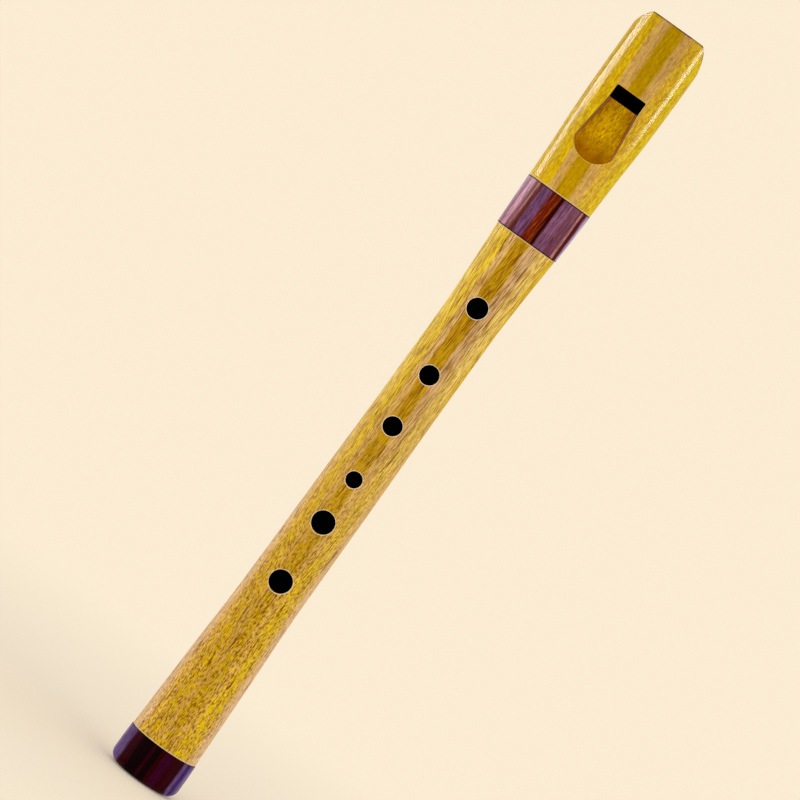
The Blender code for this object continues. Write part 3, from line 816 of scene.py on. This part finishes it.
print("wooden flute: turning the rings and the cork")

ringFinish = makeRosewood("stripedRosewood", ringWood, (shoulder, ringTop))
# The foot's lower rim is put below the floor, since only the upper one takes painted shade
footFinish = makeRosewood("darkRosewood", footWood, (footLow.z - 0.01, footSeam))
ringSizes = {"footRadius": 0.01240, "headRadius": 0.01302, "bore": 0.0111, "easedEdge": 0.0002}
footSizes = {
    "topRadius": 0.01350, "radius": 0.01365, "swellHeight": 0.0085, "swellRows": 16, "easedEdge": 0.0002,
    "round": 0.0038, "roundSteps": 16, "bore": 0.0063, "socket": 0.0099, "floor": 0.0040, "boreChamfer": 0.0008,
}
corkSizes = {"inside": 0.0084, "easedEdge": 0.0003}


def makeSocketRing():
    sizes = ringSizes
    outline = sleeveOutline(
        sizes["bore"], sizes["footRadius"], sizes["headRadius"], shoulder, ringTop, sizes["easedEdge"]
    )
    return shadeRound(newPiece("socketRing", turnOutline(outline), ringFinish))


def makeFootRing():
    sizes = footSizes
    ease = sizes["easedEdge"]
    edge = sizes["round"]
    swell = ((edge, sizes["radius"]), (sizes["swellHeight"], sizes["radius"]), (footSeam, sizes["topRadius"]))
    outline = [
        (sizes["socket"], footSeam),
        *roundedCorner(sizes["topRadius"] - ease, footSeam - ease, ease, 90, 0),
        *[(smoothCurve(swell, z), z) for z in spread(footSeam - 2 * ease, edge * 1.1, sizes["swellRows"])],
        *roundedCorner(sizes["radius"] - edge, edge, edge, 0, -90, sizes["roundSteps"]),
        (sizes["bore"] + sizes["boreChamfer"], 0.0),
        (sizes["bore"], sizes["boreChamfer"]), (sizes["bore"], sizes["floor"]), (sizes["socket"], sizes["floor"]),
    ]
    return shadeRound(newPiece("footRing", turnOutline(outline), footFinish))


def makeCork():
    radius = corkHigh.x
    outline = sleeveOutline(corkSizes["inside"], radius, radius, corkLow.z, corkHigh.z, corkSizes["easedEdge"])
    return shadeRound(newPiece("tenonCork", turnOutline(outline), makeCorkFinish()))


print("wooden flute: shaping the head")

# Window, labium ramp, windway, beak and block
mouthSizes = {
    "windowWidth": 0.0120, "windowTop": 0.2936, "labium": 0.2885, "windowCorner": 0.0006,
    "labiumDepth": 0.0085, "undersideDepth": 0.00825, "undersideFoot": 0.2802,
    "rampWidest": 0.0168, "rampWidestHeight": 0.2700, "rampFoot": 0.2655, "rampFootDepth": 0.0121,
    "rampDraft": 0.20, "rampFillet": 0.0010, "lip": 0.00018, "lipStep": 0.0005,
    "windwayFloor": 0.0078, "windwayRoof": 0.0092, "windwayMouthRoof": 0.0096,
    "beakRadius": 0.050, "beakLip": 0.0015, "beakAbove": 0.004, "beakWidth": 0.06, "beakSteps": 720,
    "blockChamfer": 0.0006, "blockGap": 0.00008, "flatFront": 0.016, "flatHalfWidth": 0.01,
    # How deep the cutters lie: from in front of the head to inside its bore
    "cutFront": 0.0163, "cutBack": 0.0041,
}
windowMiddle = (mouthSizes["labium"] + mouthSizes["windowTop"]) / 2
headSizes = {
    "halfWidths": (
        (0.2505, 0.01290), (0.2647, 0.01330), (0.2772, 0.01390),
        (0.2897, 0.01420), (0.3022, 0.01430), (0.3212, 0.01430),
    ),
    "halfDepths": ((0.2505, 0.01290), (0.2772, 0.01310), (0.2962, 0.01330), (0.3212, 0.01330)),
    "squareness": ((0.2505, 2.0), (0.3012, 3.0), (0.3212, 3.0)),
    "spigot": 0.0108, "socket": 0.0094, "socketFloor": 0.2500, "bore": 0.00825, "easedEdge": 0.0002,
    # Corners of the mouth end: length down the side, width across the end, and fullness (2 is a quarter round)
    "leftCorner": (0.0071, 0.0043, 1.45), "rightCorner": (0.0105, 0.0043, 1.6),
    "cornerStart": 0.1, "cornerSteps": 40, "cornerAside": 0.0003, "cornerDepth": 0.02,
    "mouthEdge": 0.0005, "rows": 90, "steps": 224, "crowding": 0.10,
}


def headSection(height):
    return [smoothCurve(headSizes[name], height) for name in ("halfWidths", "halfDepths", "squareness")]


headFinish = makeYellowWood("polishedYellowWood", headWood)
# Painted shade in the carved ramp and inside the head's bore, and painted light and shade on the lip round the
# window and ramp
rampFinish = makeYellowWood("carvedYellowWood", rampWood)
headBoreFinish = makeYellowWood("headBore", headWood, (0.0100, 0.0130))
lipFinish = makeYellowWood("litAndShadedLip", lipWood)
cutFinish = makeYellowWood("mattYellowWood", cutWood)


def headReach(turn, height, inset=0.0):
    # Distance of the head's skin from the axis in one direction: round at the ring, soft square at the mouth.
    halfWidth, halfDepth, power = headSection(height)
    across = abs(math.cos(turn) / (halfWidth - inset))
    deep = abs(math.sin(turn) / (halfDepth - inset))
    return (across**power + deep**power) ** (-1 / power)


def headFrontDepth(x, height):
    # Depth of the skin in front of the axis, at a place on the front of the head.
    halfWidth, halfDepth, power = headSection(height)
    return halfDepth * (1 - abs(x / halfWidth) ** power) ** (1 / power)


def headSkin():
    sizes = headSizes
    ease = sizes["easedEdge"]
    edge = sizes["mouthEdge"]
    seam = ringTop + hairline
    rows = [(seam, ease), (seam + ease * 0.3, ease * 0.3)]
    rows += [(height, 0.0) for height in spread(seam + ease, mouthEnd - edge, sizes["rows"])]
    rows += [(mouthEnd - edge + rise, edge + aside) for aside, rise in roundedCorner(0, 0, edge, 180, 90)[1:]]
    shape, verts, edges = startRing(sizes["steps"])
    # More of the sides stand where the section turns fastest, at its four soft corners
    turns = [turnOf(vert) + sizes["crowding"] * math.sin(4 * turnOf(vert)) for vert in verts]

    def placeRing(ring, height, inset):
        # inset is the depth under the head's skin, or None for the spigot
        for vert, turn in zip(ring, turns):
            out = sizes["spigot"] if inset is None else headReach(turn, height, inset)
            vert.co = (out * math.cos(turn), out * math.sin(turn), height)

    placeRing(verts, headLow.z, None)
    for height, inset in [(seam, None), *rows]:
        verts, edges = growRing(shape, edges)
        placeRing(verts, height, inset)
    closeEnds(shape)
    # The mouth end's face and its eased edge take the matt finish
    for face in shape.faces:
        face.material_index = int(all(vert.co.z > mouthEnd - edge - 0.000001 for vert in face.verts))
    return shape


def cornerShape(corner, side):
    # Cuts a rounded corner of the mouth end square to the front: side is 1 for the right and -1 for the left.
    length, width, fullness = corner
    sizes = headSizes
    halfWidth = sizes["halfWidths"][-1][1]
    outside = halfWidth + sizes["cornerAside"]
    over = mouthEnd + overrun
    curve = []
    for share in spread(sizes["cornerStart"], 1.0, sizes["cornerSteps"]):
        inset = width * (1 - (1 - share**fullness) ** (1 / fullness))
        curve.append((halfWidth - inset, mouthEnd - length * (1 - share)))
    (x0, z0), (x1, z1) = curve[:2]
    entry = (outside, z0 - (z1 - z0) * (outside - x0) / (x0 - x1))
    outline = [entry, *curve, (curve[-1][0], over), (outside, over)]
    front = -sizes["cornerDepth"]
    return prism([(side * x, front, z) for x, z in outline], (0, -2 * front, 0))


def windowShape():
    sizes = mouthSizes
    half = sizes["windowWidth"] / 2
    shape = boxShape((-half, -sizes["cutFront"], sizes["labium"]), (half, -sizes["cutBack"], sizes["windowTop"]))
    corners = [
        edge for edge in shape.edges
        if all(vert.co.z > sizes["labium"] + 0.001 for vert in edge.verts)
        and abs(edge.verts[0].co.x - edge.verts[1].co.x) < 1e-5
    ]
    roundEdges(shape, corners, sizes["windowCorner"])
    return shape


def rampPlan():
    # Plan of the ramp as (across, height): straight flaring sides closed by a round end.
    sizes = mouthSizes
    half = sizes["windowWidth"] / 2
    widest = sizes["rampWidest"] / 2
    rise = sizes["rampWidestHeight"] - sizes["rampFoot"]
    radius = (widest**2 + rise**2) / (2 * rise)
    sweep = math.asin(widest / radius)
    foot = sizes["rampFoot"]
    arc = [(radius * math.sin(a), foot + radius * (1 - math.cos(a))) for a in spread(sweep, -sweep, 41)]
    return [(half, sizes["labium"]), *arc, (-half, sizes["labium"])]


def wallPoint(across, height, depth):
    # The ramp's walls lean inwards with depth.
    sizes = mouthSizes
    face = headSizes["halfDepths"][0][1]
    inward = Vector((-across, 0, max(0.0, sizes["rampWidestHeight"] - height))).normalized()
    return Vector((across, -depth, height)) + inward * sizes["rampDraft"] * (face - depth)


def rampShape():
    sizes = mouthSizes
    half = sizes["windowWidth"] / 2
    plan = [(half, windowMiddle), *rampPlan(), (-half, windowMiddle)]
    slope = (sizes["rampFootDepth"] - sizes["labiumDepth"]) / (sizes["labium"] - sizes["rampFoot"])
    shape = bmesh.new()
    front = shape.faces.new([shape.verts.new(wallPoint(x, z, sizes["cutFront"])) for x, z in plan])
    grown = bmesh.ops.extrude_face_region(shape, geom=[front], use_keep_orig=True)["geom"]
    floor = next(item for item in grown if isinstance(item, bmesh.types.BMFace))
    for vert, (x, z) in zip(floor.verts, plan):
        vert.co = wallPoint(x, z, sizes["labiumDepth"] + slope * (sizes["labium"] - z))
    bmesh.ops.recalc_face_normals(shape, faces=shape.faces)
    roundEnd = [edge for edge in floor.edges if all(vert.co.z < sizes["labium"] - 0.003 for vert in edge.verts)]
    roundEdges(shape, roundEnd, sizes["rampFillet"])
    return shape


def lipPlan():
    # The outline of window and ramp together, evenly stepped, for easing its edge.
    sizes = mouthSizes
    half = sizes["windowWidth"] / 2
    corner = sizes["windowCorner"]
    top = sizes["windowTop"]
    arc = [math.radians(a) for a in spread(90, 0, 7)]
    right = [(half - corner + corner * math.cos(a), top - corner + corner * math.sin(a)) for a in arc]
    left = [(-x, z) for x, z in reversed(right)]
    ramp = []
    for x, z in rampPlan():
        met = wallPoint(x, z, headFrontDepth(x, z))
        met = wallPoint(x, z, headFrontDepth(met.x, met.z))
        ramp.append((met.x, met.z))
    corners = [*right, *ramp, *left]
    plan = []
    for (x0, z0), (x1, z1) in zip(corners, corners[1:] + corners[:1]):
        count = max(1, round(math.hypot(x1 - x0, z1 - z0) / sizes["lipStep"]))
        plan += [(x0 + (x1 - x0) * i / count, z0 + (z1 - z0) * i / count) for i in range(count)]
    return plan


def lipShape():
    # A thin ring along the outline that eases the edge between the skin and the cuts.
    lip = mouthSizes["lip"]
    plan = lipPlan()
    count = len(plan)
    outward = []
    for i, (x, z) in enumerate(plan):
        before, after = plan[i - 1], plan[(i + 1) % count]
        dx, dz = after[0] - before[0], after[1] - before[1]
        size = math.hypot(dx, dz)
        outward.append((-dz / size, dx / size))
    eased = [(lip * (1 - math.cos(a)), lip * (1 - math.sin(a))) for a in spread(0, math.pi / 2, 5)]
    section = [*eased, (5 * lip, -2 * lip), (-3 * lip, -2 * lip), (-3 * lip, lip)]
    shape, verts, edges = startRing(count)
    order = sorted(range(count), key=lambda i: -turnOf(verts[i]) % (2 * math.pi))
    ranks = {vertIndex: rank for rank, vertIndex in enumerate(order)}

    def placeRing(ring, out, down):
        # out is the way outwards from the outline, and down the depth under the head's skin
        for i, vert in enumerate(ring):
            (x, z), (ox, oz) = plan[ranks[i]], outward[ranks[i]]
            x, z = x + ox * out, z + oz * out
            vert.co = (x, down - headFrontDepth(x, z), z)

    placeRing(verts, *section[0])
    firstEdges = edges
    for out, down in section[1:]:
        verts, edges = growRing(shape, edges)
        placeRing(verts, out, down)
    bmesh.ops.bridge_loops(shape, edges=firstEdges + edges)
    settleNormals(shape)
    return shape


def beakShape():
    sizes = mouthSizes
    shape = cutterCylinder(sizes["beakRadius"], sizes["beakWidth"], sizes["beakSteps"])
    bmesh.ops.rotate(shape, verts=shape.verts, cent=(0, 0, 0), matrix=Matrix.Rotation(math.radians(90), 3, "Y"))
    away = sizes["beakRadius"] - sizes["beakLip"]
    bmesh.ops.translate(shape, verts=shape.verts, vec=(0, away, mouthEnd + sizes["beakAbove"]))
    return shape


def makeHead():
    sizes = mouthSizes
    half = sizes["windowWidth"] / 2
    over = mouthEnd + overrun
    below = headLow.z - overrun
    windway = [
        (-sizes["windwayFloor"], windowMiddle), (-sizes["windwayFloor"], over),
        (-sizes["windwayMouthRoof"], over), (-sizes["windwayRoof"], windowMiddle),
    ]
    underside = boxShape(
        (-half, -sizes["undersideDepth"], sizes["undersideFoot"]), (half, -sizes["cutBack"], windowMiddle)
    )
    head = newPiece("headJoint", headSkin(), headFinish, cutFinish)
    cutWith(head, cornerShape(headSizes["rightCorner"], 1), cutFinish)
    cutWith(head, cornerShape(headSizes["leftCorner"], -1), cutFinish)
    # The bore, socket, window and windway cuts take the head bore's painted shade, the ramp its own, and the lip
    # its painted light and shade
    cutWith(head, uprightCylinder(headSizes["bore"], below, over), headBoreFinish)
    cutWith(head, uprightCylinder(headSizes["socket"], below, headSizes["socketFloor"]), headBoreFinish)
    cutWith(head, windowShape(), headBoreFinish)
    cutWith(head, underside, headBoreFinish)
    cutWith(head, sidePrism(windway, half), headBoreFinish)
    cutWith(head, rampShape(), rampFinish)
    cutWith(head, lipShape(), lipFinish)
    cutWith(head, beakShape(), cutFinish)
    aboveSeam = ringTop + 0.0003
    return polishSkin(shadeRound(head), headReach, aboveSeam, mouthEnd - headSizes["mouthEdge"])


def makeBlock():
    sizes = mouthSizes
    over = mouthEnd + overrun
    low = sizes["windowTop"] - overrun
    floor = -sizes["windwayFloor"]
    chamfer = sizes["blockChamfer"]
    front = -sizes["flatFront"]
    flat = [
        (front, low), (floor + chamfer + overrun, low), (floor, sizes["windowTop"] + chamfer), (floor, over),
        (front, over),
    ]
    cedar = makeCedar()
    radius = headSizes["bore"] - sizes["blockGap"]
    block = newPiece("fippleBlock", uprightCylinder(radius, sizes["windowTop"], mouthEnd), cedar)
    cutWith(block, sidePrism(flat, sizes["flatHalfWidth"]), cedar)
    cutWith(block, beakShape(), cedar)
    return shadeRound(block)


def place(piece, body, node, slot):
    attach(piece, body)
    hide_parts(node)


place(makeBody(), "lower_joint", "body_joint", "yellow_wood")
place(makeFootRing(), "lower_joint", "foot_ring", "dark_rosewood")
place(makeCork(), "cork_sleeve", "tenon_cork", "cork")
place(makeSocketRing(), "upper_joint", "socket_ring", "rosewood")
place(makeHead(), "upper_joint", "head_joint", "yellow_wood_polished")
place(makeBlock(), "upper_joint", "fipple_block", "cedar")


print("wooden flute: setting the stage and the lights")

stageSizes = {
    "cream": (0.965, 0.835, 0.655), "level": 0.86, "floorRadius": 12.0, "floorDrop": 0.0002,
    "shadowFrom": 0.02, "shadowReach": 0.40, "matteShare": 0.85, "matteGain": 1.10,
}
# Lamps: azimuth, distance, height, width, length, power, and whether they show only as a sheen
lampSizes = {
    "leftFrontBox": (-38, 1.8, 0.95, 1.0, 1.0, 4.2, False),
    "rightFrontBox": (38, 1.8, 0.95, 1.0, 1.0, 4.2, False),
    "leftRingSheen": (-111, 0.9, 0.205, 0.449, 0.07, 3.5, True),
    "leftMouthSheen": (-95, 0.9, 0.345, 0.80, 0.21, 25.5, True),
    "rightMouthSheen": (79.5, 0.9, 0.345, 0.334, 0.21, 13.4, True),
}


def seenDirectly(tree):
    # 1 for the rays that show the stage itself: camera, mirror and glass rays.
    path = tree.nodes.new("ShaderNodeLightPath")
    seen = Signal(tree, path.outputs["Is Camera Ray"]) + Signal(tree, path.outputs["Is Glossy Ray"])
    return (seen + Signal(tree, path.outputs["Is Transmission Ray"])).math("MINIMUM", 1.0)


def makeFloor():
    # The floor glows with the backdrop's cream, and takes the flute's shadow round the foot.
    sizes = stageSizes
    shape = bmesh.new()
    bmesh.ops.create_circle(shape, cap_ends=True, segments=96, radius=sizes["floorRadius"])
    bmesh.ops.translate(shape, verts=shape.verts, vec=(0, 0, -sizes["floorDrop"]))
    material = bpy.data.materials.new("paleFloor")
    material.use_nodes = True
    tree = material.node_tree
    tree.nodes.clear()
    output = tree.nodes.new("ShaderNodeOutputMaterial")
    place = Signal(tree, tree.nodes.new("ShaderNodeTexCoord").outputs["Object"])
    away = Signal(tree, place.node("ShaderNodeVectorMath", {"operation": "LENGTH"}, in0=place).outputs["Value"])
    near = (1 - away.between(sizes["shadowFrom"], sizes["shadowReach"])) * sizes["matteShare"]
    matteColour = [channel / sizes["matteGain"] for channel in sizes["cream"]]
    glow = place.node("ShaderNodeEmission", Color=sizes["cream"]).outputs[0]
    matte = place.node("ShaderNodeBsdfDiffuse", Color=matteColour).outputs[0]
    plain = place.node("ShaderNodeEmission", Color=(1, 1, 1), Strength=sizes["level"]).outputs[0]
    shown = place.node("ShaderNodeMixShader", in0=near, in1=glow, in2=matte).outputs[0]
    mix = place.node("ShaderNodeMixShader", in0=seenDirectly(tree), in1=plain, in2=shown)
    tree.links.new(mix.outputs[0], output.inputs[0])
    newPiece("floor", shape, material)


def makeWorld():
    sizes = stageSizes
    world = bpy.data.worlds.new("studio")
    world.use_nodes = True
    tree = world.node_tree
    light = tree.nodes["Background"]
    light.inputs[0].default_value = (1.0, 1.0, 1.0, 1.0)
    light.inputs[1].default_value = sizes["level"]
    seen = seenDirectly(tree)
    backdrop = seen.node("ShaderNodeBackground", Color=sizes["cream"])
    mix = seen.node("ShaderNodeMixShader", in0=seen, in1=light.outputs[0], in2=backdrop.outputs[0])
    tree.links.new(mix.outputs[0], tree.nodes["World Output"].inputs[0])
    bpy.context.scene.world = world


def addLamp(name, azimuth, distance, height, width, length, power, sheenOnly):
    # A soft box that faces the flute: azimuth 0 is in front of it, 90 on its +X side.
    light = bpy.data.lights.new(name, "AREA")
    light.shape = "RECTANGLE"
    light.size = width
    light.size_y = length
    light.energy = power
    lamp = bpy.data.objects.new(name, light)
    lamp.visible_diffuse = not sheenOnly
    angle = math.radians(azimuth)
    lamp.location = (distance * math.sin(angle), -distance * math.cos(angle), height)
    aim = Vector((0, 0, height if sheenOnly else mouthEnd / 2)) - lamp.location
    lamp.rotation_euler = aim.to_track_quat("-Z", "Y").to_euler()
    bpy.context.scene.collection.objects.link(lamp)


makeFloor()
makeWorld()
for lampName, lampValues in lampSizes.items():
    addLamp(lampName, *lampValues)

cameraSizes = {
    "distance": 1.80, "height": 0.23925, "azimuthDegrees": 1.3, "lens": 232.6,
    "centreHeight": 0.16037, "centreSide": -0.00347, "leanDegrees": 35.775,
}


def makeCamera():
    # Stands in front of the flute and leans over, so that the flute lies across the picture.
    sizes = cameraSizes
    lens = bpy.data.cameras.new("camera")
    lens.lens = sizes["lens"]
    lens.sensor_width = 36.0
    lens.clip_start = 0.05
    lens.clip_end = 50.0
    camera = bpy.data.objects.new("camera", lens)
    bpy.context.scene.collection.objects.link(camera)
    azimuth = math.radians(sizes["azimuthDegrees"])
    aside, back = sizes["distance"] * math.sin(azimuth), sizes["distance"] * math.cos(azimuth)
    stand = Vector((sizes["centreSide"] + aside, -back, sizes["height"]))
    ahead = (Vector((sizes["centreSide"], 0, sizes["centreHeight"])) - stand).normalized()
    upright = (Vector((0, 0, 1)) - ahead * ahead.z).normalized()
    across = ahead.cross(upright)
    lean = math.radians(sizes["leanDegrees"])
    right = across * math.cos(lean) + upright * math.sin(lean)
    up = upright * math.cos(lean) - across * math.sin(lean)
    camera.matrix_world = Matrix((
        (right.x, up.x, -ahead.x, stand.x),
        (right.y, up.y, -ahead.y, stand.y),
        (right.z, up.z, -ahead.z, stand.z),
        (0, 0, 0, 1),
    ))
    bpy.context.scene.camera = camera


makeCamera()
bpy.context.scene.view_settings.view_transform = "Standard"

print("wooden flute: done")
